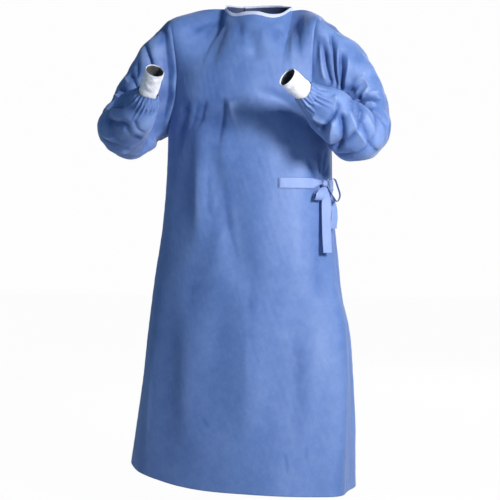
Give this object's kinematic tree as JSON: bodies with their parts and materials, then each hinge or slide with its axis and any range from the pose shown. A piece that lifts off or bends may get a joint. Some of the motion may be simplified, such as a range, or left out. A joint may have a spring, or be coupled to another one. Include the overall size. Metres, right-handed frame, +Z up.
{
  "type": "dental gown",
  "caption": "Long-sleeved wrap-back isolation gown, worn shape with arms raised in front, knitted cuffs, bound neck and a waist tie in a bow.",
  "frame": {"origin": "middle of the wearer's shoulder line, where the wearer's shoulders hold the gown up", "axes": "+X towards the wearer's left, -Y out of the gown's front, +Z up"},
  "size_m": [0.721, 0.5476, 1.2054],
  "materials": {
    "blue_nonwoven": "matt spunbond nonwoven cloth, fine pin-dot bond marks",
    "white_knit": "ribbed knit, matt",
    "pale_binding": "folded nonwoven strip, matt",
    "pale_tie": "folded nonwoven strap, soft sheen"
  },
  "bodies": {
    "root": {"front": "blue_nonwoven", "back_right": "blue_nonwoven", "back_left": "blue_nonwoven", "sleeve_right": "blue_nonwoven", "sleeve_left": "blue_nonwoven", "cuff_right": "white_knit", "cuff_left": "white_knit", "neck_binding": "pale_binding", "tie_front_strap": "pale_tie", "tie_back_strap": "pale_tie", "tie_knot": "pale_tie", "tie_loop_front": "pale_tie", "tie_loop_side": "pale_tie", "tie_tail_long": "pale_tie", "tie_tail_short": "pale_tie"}
  },
  "joints": []
}
